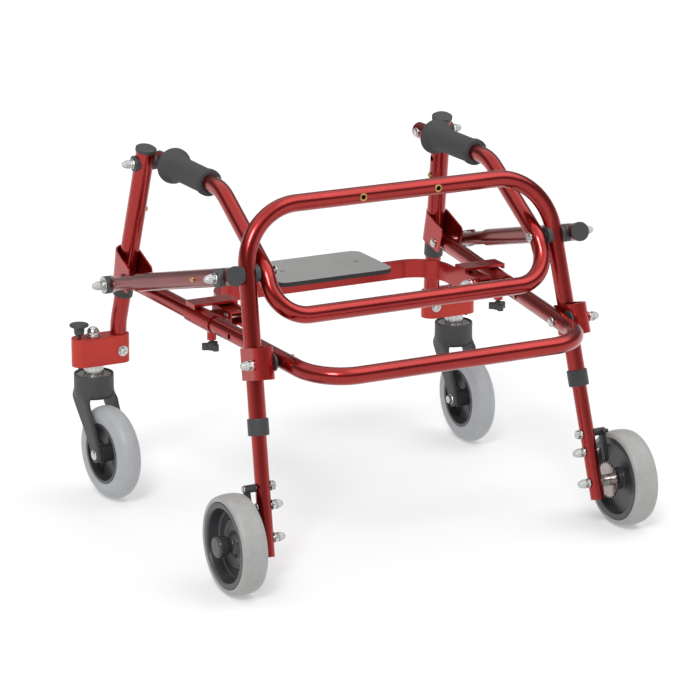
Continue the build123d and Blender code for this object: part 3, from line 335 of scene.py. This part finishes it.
def laminate(spot):
    split = spot.node("ShaderNodeSeparateXYZ", {}, {0: spot})
    height = Wire(spot.tree, split.socket.node.outputs[2])
    face = height.step(board_high.z - 0.0009, board_high.z - 0.0005)
    grain = spot.noise(650.0, 4.0, 0.65)
    smear = spot.noise(18.0, 5.0, 0.6)
    top = (grain * 0.5 + smear * 0.5).step(0.3, 0.7).mix(shade(130, 130, 129), shade(148, 148, 147))
    edge = grain.mix(shade(24, 24, 26), shade(40, 40, 42))
    return {
        "Base Color": face.mix(edge, top),
        "Roughness": smear * 0.16 + 0.36,
        "Normal": relief(grain, 0.1, 0.0002, 0.0008),
    }


finishes["seat_board"] = new_finish("grey_laminate", {"Specular IOR Level": 0.45}, laminate)

# %% [markdown]
# The nuts wear clear caps. They are milky plastic, so light passes, is scattered, and the metal below is
# just seen. A part of transmission with some roughness does this without refraction errors.


# %% Clear caps
def milky(spot):
    cloud = spot.noise(300.0, 4.0)
    return {
        "Base Color": cloud.mix(shade(206, 210, 208), shade(236, 238, 236)),
        "Roughness": cloud * 0.15 + 0.14,
        "Normal": relief(cloud, 0.2, 0.0002),
    }


clear_plastic = new_finish("clear_cap", {"Transmission Weight": 0.45, "IOR": 1.3, "Coat Weight": 0.5}, milky)

# %% [markdown]
# Every construction piece names a finish in the record, so one loop dresses the whole frame. The strut
# tubes were dyed in another batch: they look duller and a little pink.

# %% Dress the construction pieces
for part in frame["record"]["subparts"]:
    piece = frame["nodes"][part["node"]]
    finish = finishes[part["material_slot"]]
    if part["node"].startswith("strut_outers") or part["node"].startswith("strut_inner"):
        finish = strut_red
    if part["node"].startswith("caster_block"):
        finish = satin_red
    piece.data.materials.clear()
    piece.data.materials.append(finish)

# %% [markdown]
# Grips, tyres, hubs and caps are all round about one axis. A lathe is the plain way to make them: an
# outline of (along, radius) points in millimetres is turned about X, after its corners have been
# softened with small curves. Sharp edges are marked by angle, so faces stay flat and rounds stay smooth.


# %% A lathe for round pieces
def soften(corners, radius, steps=4):
    """Outline whose inner corners are replaced with short curves of about this radius."""
    curve = [Vector(corners[0])]
    for before, corner, after in zip(corners, corners[1:], corners[2:]):
        before, corner, after = Vector(before), Vector(corner), Vector(after)
        back = min(radius, (before - corner).length * 0.45)
        ahead = min(radius, (after - corner).length * 0.45)
        start = corner + (before - corner).normalized() * back
        end = corner + (after - corner).normalized() * ahead
        for step in range(steps + 1):
            t = step / steps
            curve.append(start * (1 - t) ** 2 + corner * 2 * t * (1 - t) + end * t**2)
    curve.append(Vector(corners[-1]))
    return curve


def finish_mesh(name, shape, place, finish, body, angle=32.0):
    """Object from a bmesh in millimetres, put in place, dressed and tied to its body."""
    bmesh.ops.remove_doubles(shape, verts=shape.verts, dist=0.0005)
    bmesh.ops.recalc_face_normals(shape, faces=shape.faces)
    bmesh.ops.scale(shape, vec=(0.001, 0.001, 0.001), verts=shape.verts)
    mesh = bpy.data.meshes.new(name)
    shape.to_mesh(mesh)
    shape.free()
    for polygon in mesh.polygons:
        polygon.use_smooth = True
    mesh.set_sharp_from_angle(angle=radians(angle))
    mesh.materials.append(finish)
    piece = bpy.data.objects.new(name, mesh)
    bpy.context.scene.collection.objects.link(piece)
    piece.matrix_world = place
    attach(piece, body)
    return piece


def turn_outline(shape, outline, sides):
    """Add the surface of an outline turned about X to a bmesh."""
    rings = []
    for along, radius in outline:
        ring = []
        for side in range(sides):
            angle = 2 * pi * side / sides
            ring.append(shape.verts.new((along, radius * cos(angle), radius * sin(angle))))
        rings.append(ring)
    for first, second in zip(rings, rings[1:]):
        for side in range(sides):
            following = (side + 1) % sides
            shape.faces.new((first[side], first[following], second[following], second[side]))


def lathe(name, outline, place, finish, body, sides=96, ring=False):
    """Piece turned about its own X axis from (along, radius) points in millimetres.

    A ring has a hole along its axis, so its outline runs back to where it started.
    """
    shape = bmesh.new()
    turn_outline(shape, list(outline) + [outline[0]] if ring else outline, sides)
    return finish_mesh(name, shape, place, finish, body)


def facing(centre, degrees):
    """Place whose X axis points this many degrees round from +X."""
    return Matrix.Translation(centre) @ Matrix.Rotation(radians(degrees), 4, "Z")


SIDES = {"right": 1, "left": -1}
print("sides", SIDES)

# %% [markdown]
# The grips are foam sleeves with a moulded ring at the back and a dished flange at the front that stops
# the hand. The flange swells out of the sleeve in one smooth curve.

# %% Hand grips
grip_low, grip_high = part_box("hand_grips")
grip_long = (grip_high.y - grip_low.y) * 1000
grip_height = (grip_low.z + grip_high.z) / 2
grip_outline = soften(
    [
        (0.0, 11.3), (0.0, 17.6), (9.0, 17.9), (10.0, 16.3), (grip_long - 24, 16.5),
        (grip_long - 15, 17.6), (grip_long - 9, 21.5), (grip_long - 5.0, 23.9),
        (grip_long, 23.9), (grip_long - 1.0, 17.0), (grip_long - 2.5, 11.3),
    ],
    2.4,
)
for side, sense in SIDES.items():
    centre = Vector((sense * (grip_high.x - 0.024), grip_low.y, grip_height))
    grip = lathe(
        "grip_" + side, grip_outline, facing(centre, 90), finishes["grip_foam"], "handlebar", ring=True
    )
    if side == "right":
        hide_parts("hand_grips")
print("grip length mm", round(grip_long, 1))

# %% [markdown]
# Both pairs of tyres are solid rubber. A caster tyre is almost a full round, while a rear tyre has a
# broad, gently crowned tread with rounded shoulders. The outline runs from rim edge to rim edge.

# %% Tyres
CASTER_TURN = {"right": -1.0, "left": 6.0}
caster_section = [(-14.5, 41.05), (-15.8, 44.0)]
for step in range(25):
    angle = pi * step / 24
    caster_section.append((-16.0 * cos(angle), 49.5 + 13.95 * sin(angle)))
caster_section += [(15.8, 44.0), (14.5, 41.05)]
rear_section = soften(
    [
        (-14.5, 54.56), (-16.6, 55.3), (-17.0, 58.2), (-15.0, 61.3), (-8.0, 63.1), (0.0, 63.45),
        (8.0, 63.1), (15.0, 61.3), (17.0, 58.2), (16.6, 55.3), (14.5, 54.56),
    ],
    3.0,
)
for side, sense in SIDES.items():
    for kind, section, turn in (("caster", caster_section, CASTER_TURN[side]), ("rear", rear_section, 0.0)):
        low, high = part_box(kind + "_tyre_" + side)
        slot = "tyre_" + kind
        body = kind + "_wheel_" + side
        tyre = lathe(
            kind + "_rubber_" + side, section, facing((low + high) / 2, turn + (180 if sense < 0 else 0)),
            finishes[slot], body, 128, True,
        )
        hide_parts(kind + "_tyre_" + side)
print("caster section points", len(caster_section))

# %% [markdown]
# A rear hub is one nylon moulding: a wide flat rim, a web set back from it with a raised ring, a neck
# and a round cap over the bearing. The dish is what the light picks out, so it is turned as one outline.

# %% Rear hubs
rear_hub_outline = soften(
    [
        (-12.0, 0.0), (-12.0, 13.0), (-6.0, 14.0), (-5.0, 18.0), (-5.0, 45.0), (-15.4, 46.6), (-16.0, 48.0),
        (-16.0, 54.0), (-15.6, 54.5), (15.6, 54.5), (16.2, 53.9), (16.2, 48.6), (15.4, 47.2), (14.0, 46.6),
        (1.0, 44.6), (-0.6, 42.6), (-0.6, 32.5), (0.8, 31.2), (0.8, 28.2), (-0.6, 27.0), (-0.6, 17.5),
        (1.6, 14.6), (4.0, 13.2), (7.0, 9.9), (12.6, 9.5), (12.6, 12.6), (14.0, 13.5), (24.6, 13.5),
        (26.3, 12.4), (26.8, 10.6), (26.8, 0.0),
    ],
    1.1,
    3,
)
screw_outline = soften([(0.0, 0.0), (0.0, 3.6), (1.2, 3.6), (2.4, 2.6), (2.9, 0.0)], 0.8)
for side, sense in SIDES.items():
    low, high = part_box("rear_tyre_" + side)
    centre = (low + high) / 2
    way = 0 if sense > 0 else 180
    body = "rear_wheel_" + side
    hub = lathe(
        "rear_nylon_" + side, rear_hub_outline, facing(centre, way), finishes["hub_black"], body
    )
    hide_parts("rear_hub_" + side)
    screw_centre = centre + Vector((sense * -0.0007, -0.0215, 0.0))
    lathe(
        "web_screw_" + side, screw_outline, facing(screw_centre, way), finishes["zinc_hardware"],
        body, 32,
    )
print("rear hub points", len(rear_hub_outline))

# %% [markdown]
# The caps over the nuts are small blunt cones that end in a round nose. They stand on every bolt that
# shows, each tied to the body that carries its bolt. The positions are the bolts' own centres.


# %% Clear caps over the nuts
def beside(sense, x, y, z):
    """Point given in millimetres ahead of the rear axle, on one side of the walker."""
    return Vector((sense * x / 1000, rear_axle_y + (y + 3.0) / 1000, z / 1000))


tyre_low, tyre_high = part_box("rear_tyre_right")
rear_axle_y = (tyre_low.y + tyre_high.y) / 2
cap_outline = soften([(0.0, 0.0), (0.0, 6.3), (1.0, 6.3), (2.0, 5.9), (6.2, 4.9), (9.4, 3.0), (10.4, 0.0)], 1.4)
nut_caps = {
    "rear_top": ("rear_frame", 1, 271.0, 84.5, 379.5),
    "rear_low": ("rear_frame", 1, 248.6, 30.0, 279.5),
    "grip_bolt": ("posts", 1, 245.0, 388.5, 458.0),
    "strut_end": ("strut_rod_", 1, 286.4, 398.0, 296.0),
    "axle": ("rear_leg_body_", -1, 223.6, -3.0, 63.5),
    "stop_bolt": ("rear_leg_body_", -1, 221.4, 7.9, 102.8),
    "seat_pivot": ("lower_rail", -1, 162.2, 205.0, 290.0),
}
for side, sense in SIDES.items():
    for name, (body, outward, x, y, z) in nut_caps.items():
        rider = body + side if body.endswith("_") else body
        way = 0 if sense * outward > 0 else 180
        lathe(
            name + "_cap_" + side, cap_outline, facing(beside(sense, x, y, z), way), clear_plastic,
            rider, 32,
        )
print("caps", 2 * len(nut_caps))

# %% [markdown]
# Black moulded spacers keep the tubes apart at the pivots, and collars close the feet of the rear
# frame. Plain turned discs with soft edges are enough; where one meets a tube it runs into it.

# %% Collars and spacers
spacers = {
    "top_inner": ("rear_frame", 207.6, 214.5, 84.5, 379.5, 11.4),
    "top_outer": ("rear_frame", 229.0, 234.8, 84.5, 379.5, 11.4),
    "low_inner": ("rear_frame", 211.8, 214.9, 30.0, 279.5, 11.4),
    "strut_end": ("strut_rod_", 270.5, 280.4, 398.0, 296.0, 11.7),
    "strut_gap": ("strut_rod_", 254.6, 259.6, 398.0, 296.0, 8.8),
}
frame_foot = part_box("rear_frame_tube")[0].z
for side, sense in SIDES.items():
    way = 0 if sense > 0 else 180
    for name, (body, start, end, y, z, radius) in spacers.items():
        rider = body + side if body.endswith("_") else body
        disc = soften([(0.0, 3.0), (0.0, radius), (end - start, radius), (end - start, 3.0)], 0.9)
        lathe(
            name + "_spacer_" + side, disc, facing(beside(sense, start, y, z), way), finishes["black_plastic"],
            rider, 64, True,
        )
    collar_outline = soften([(0.0, 9.9), (0.0, 12.9), (1.0, 13.4), (20.4, 13.4), (21.4, 12.9), (21.4, 11.2)], 0.8)
    drop = (379.5 - 187.0, 379.5 - 208.0)
    low_end = beside(sense, 221.7 + drop[0] * 0.0576, 84.5 - drop[0] * 0.2769, 187.0)
    high_end = beside(sense, 221.7 + drop[1] * 0.0576, 84.5 - drop[1] * 0.2769, 208.0)
    along = (high_end - low_end).to_track_quat("X", "Z").to_matrix().to_4x4()
    collar = lathe(
        "frame_collar_" + side, collar_outline, Matrix.Translation(low_end) @ along, finishes["black_plastic"],
        "rear_frame", 64, True,
    )
    if side == "right":
        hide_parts("rear_frame_plastics")
print("spacers", 2 * len(spacers), "frame foot", round(frame_foot, 4))

# %% [markdown]
# A caster fork is one nylon moulding: a cup under the bearing that flows down into two arms, which trail
# backwards to the axle. Its arms are laid up as strips of cross-sections: at the top each follows the
# round of the cup, further down it becomes a flat plate, and at the axle it ends in a half circle.

# %% Caster forks
CUP_RADIUS = 26.8
ARM_OUTSIDE = 25.0
ARM_THICK = 6.0
ARM_TOP = 146.0
AXLE_HIGH = 63.5
WHEEL_TRAIL = 43.0
cup_outline = soften(
    [
        (131.0, 0.0), (131.0, 20.0), (132.0, 24.5), (136.0, CUP_RADIUS), (163.2, CUP_RADIUS),
        (164.0, 26.2), (164.0, 24.6), (163.2, 24.0), (160.0, 24.0), (160.0, 0.0),
    ],
    1.0,
)


def smooth_step(value, start, end):
    """Eased 0 to 1 between start and end."""
    part = min(1.0, max(0.0, (value - start) / (end - start)))
    return part * part * (3 - 2 * part)


def arm_section(height, points=11):
    """Outer and inner points of an arm at one height, as (x, y) pairs in the fork's own directions."""
    down = smooth_step(138.0 - height, 0.0, 138.0 - AXLE_HIGH) * 0.35 + 0.65 * min(
        1.0, max(0.0, (136.0 - height) / (136.0 - AXLE_HIGH))
    )
    middle = -WHEEL_TRAIL * down
    half = 22.5 - 11.5 * min(1.0, max(0.0, (140.0 - height) / (140.0 - AXLE_HIGH))) ** 0.8
    if height < AXLE_HIGH:
        half = (121.0 - (AXLE_HIGH - height) ** 2) ** 0.5
    flat = smooth_step(146.0 - height, 0.0, 18.0)
    outer, inner = [], []
    for index in range(points):
        across = -cos(pi * index / (points - 1))
        offset = middle + half * across
        round_x = (max(0.0, CUP_RADIUS**2 - (half * across) ** 2)) ** 0.5
        outside = round_x * (1 - flat) + ARM_OUTSIDE * flat
        edge = 1.4 * flat * max(0.0, abs(across) - 0.75) ** 2 * 16
        outer.append((outside - edge, offset))
        inner.append((outside - ARM_THICK + edge * 0.4, offset))
    return outer + inner[::-1]


heights = [ARM_TOP - 3.0 * step for step in range(28)] + [63.5, 60.0, 57.0, 55.0, 53.6, 52.8, 52.52]
for side, sense in SIDES.items():
    wheel_low, wheel_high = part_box("caster_tyre_" + side)
    wheel_centre = (wheel_low + wheel_high) / 2
    turn = Matrix.Rotation(radians(CASTER_TURN[side]), 4, "Z")
    stem_point = wheel_centre + turn @ Vector((0.0, WHEEL_TRAIL / 1000, 0.0))
    shape = bmesh.new()
    turn_outline(shape, cup_outline, 72)
    bmesh.ops.rotate(shape, matrix=Matrix.Rotation(radians(-90), 3, "Y"), verts=shape.verts)
    for hand in (1, -1):
        loops = []
        for height in heights:
            loops.append([shape.verts.new((hand * x, y, height)) for x, y in arm_section(height)])
        for upper, lower in zip(loops, loops[1:]):
            for index in range(len(upper)):
                following = (index + 1) % len(upper)
                shape.faces.new((upper[index], upper[following], lower[following], lower[index]))
        shape.faces.new(loops[0])
        shape.faces.new(loops[-1])
    place = Matrix.Translation((stem_point.x, stem_point.y, 0.0)) @ turn
    fork = finish_mesh(
        "fork_moulding_" + side, shape, place, finishes["fork_black"], "caster_swivel_" + side, 42.0
    )
    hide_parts("caster_fork_" + side)
print("fork heights", len(heights))

# %% [markdown]
# The swivel locks have mushroom heads to pull on: a flat disc on a waisted neck. The construction model
# keeps them angular, and here the same outline gets its round edges.

# %% Swivel lock knobs
knob_outline = soften(
    [
        (-44.0, 0.0), (-44.0, 2.35), (2.0, 2.35), (4.4, 2.5), (4.4, 5.2), (6.0, 6.8), (12.0, 7.0),
        (15.2, 8.4), (16.2, 12.6), (18.0, 13.2), (19.6, 12.4), (20.2, 7.0), (19.9, 0.0),
    ],
    1.4,
)
for side, sense in SIDES.items():
    low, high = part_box("plunger_" + side)
    foot = Vector(((low.x + high.x) / 2, (low.y + high.y) / 2, high.z - 0.0204))
    upright = Matrix.Translation(foot) @ Matrix.Rotation(radians(-90), 4, "Y")
    knob = lathe(
        "lock_knob_" + side, knob_outline, upright, finishes["black_plastic"], "swivel_lock_" + side,
        48,
    )
    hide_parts("plunger_" + side)
print("knob points", len(knob_outline))

# %% [markdown]
# Under the walker lies a pale floor, large enough that the camera sees nothing else. It keeps the soft
# contact shadows, and for the camera it glows by itself as well, so that it looks white while the
# lamps stay low. It is part of the stage and not of the walker.


# %% Floor
def floor_look(spot):
    cloud = spot.noise(1.2, 2.0)
    return {"Base Color": cloud.mix((0.9, 0.9, 0.9, 1.0), (0.91, 0.91, 0.91, 1.0)), "Roughness": cloud * 0.1 + 0.9}


floor_mesh = bpy.data.meshes.new("floor")
FLOOR_HALF = 30.0
FLOOR_GLOW = 0.68
floor_mesh.from_pydata(
    [(-FLOOR_HALF, -FLOOR_HALF, 0), (FLOOR_HALF, -FLOOR_HALF, 0), (FLOOR_HALF, FLOOR_HALF, 0), (-FLOOR_HALF, FLOOR_HALF, 0)],
    [],
    [(0, 1, 2, 3)],
)
pale_floor = new_finish("pale_floor", {"Specular IOR Level": 0.0}, floor_look)
floor_tree = pale_floor.node_tree
ray = floor_tree.nodes.new("ShaderNodeLightPath").outputs
seen = Wire(floor_tree, ray["Is Camera Ray"]).sum("MAXIMUM", Wire(floor_tree, ray["Is Transmission Ray"]))
seen = seen.sum("MAXIMUM", Wire(floor_tree, ray["Is Glossy Ray"]))
glow = seen.node("ShaderNodeEmission", {}, {"Color": (1.0, 1.0, 1.0, 1.0), "Strength": 1.0})
lit = Wire(floor_tree, floor_tree.nodes["Principled BSDF"].outputs[0])
both = seen.node("ShaderNodeMixShader", {}, {0: seen * FLOOR_GLOW, 1: lit, 2: glow})
floor_tree.links.new(both.socket, floor_tree.nodes["Material Output"].inputs["Surface"])
floor_mesh.materials.append(pale_floor)
floor = bpy.data.objects.new("floor", floor_mesh)
bpy.context.scene.collection.objects.link(floor)

# %% [markdown]
# A studio lights metal mostly by what it reflects. The world is a tall soft gradient: pale at the
# horizon, a darker band above it, and bright overhead. The band gives the tubes their dark flanks.

# %% World and lamps
world = bpy.data.worlds.new("studio")
bpy.context.scene.world = world
world.use_nodes = True
world_tree = world.node_tree
direction = Wire(world_tree, world_tree.nodes.new("ShaderNodeTexCoord").outputs["Generated"])
split = direction.node("ShaderNodeSeparateXYZ", {}, {0: direction})
rise = Wire(world_tree, split.socket.node.outputs[2])
sky = rise.node(
    "ShaderNodeValToRGB",
    {"stops": [
        (0.0, (0.85, 0.85, 0.85, 1.0)), (0.08, (0.6, 0.6, 0.6, 1.0)), (0.26, (0.13, 0.13, 0.13, 1.0)),
        (0.52, (0.18, 0.18, 0.18, 1.0)), (0.72, (1.0, 1.0, 1.0, 1.0)), (1.0, (0.9, 0.9, 0.9, 1.0)),
    ]},
    {0: rise},
)
background = world_tree.nodes["Background"]
world_tree.links.new(sky.socket, background.inputs["Color"])
background.inputs["Strength"].default_value = 1.2
LAMPS = {"key": (1.4, 16.0, (46.0, 0.0, -38.0)), "fill": (0.6, 50.0, (36.0, 0.0, 62.0))}
for name, (strength, soft_angle, turn) in LAMPS.items():
    lamp = bpy.data.lights.new(name, "SUN")
    lamp.energy = strength
    lamp.angle = radians(soft_angle)
    holder = bpy.data.objects.new(name, lamp)
    holder.rotation_euler = [radians(part) for part in turn]
    bpy.context.scene.collection.objects.link(holder)
print("lamps", sorted(LAMPS))
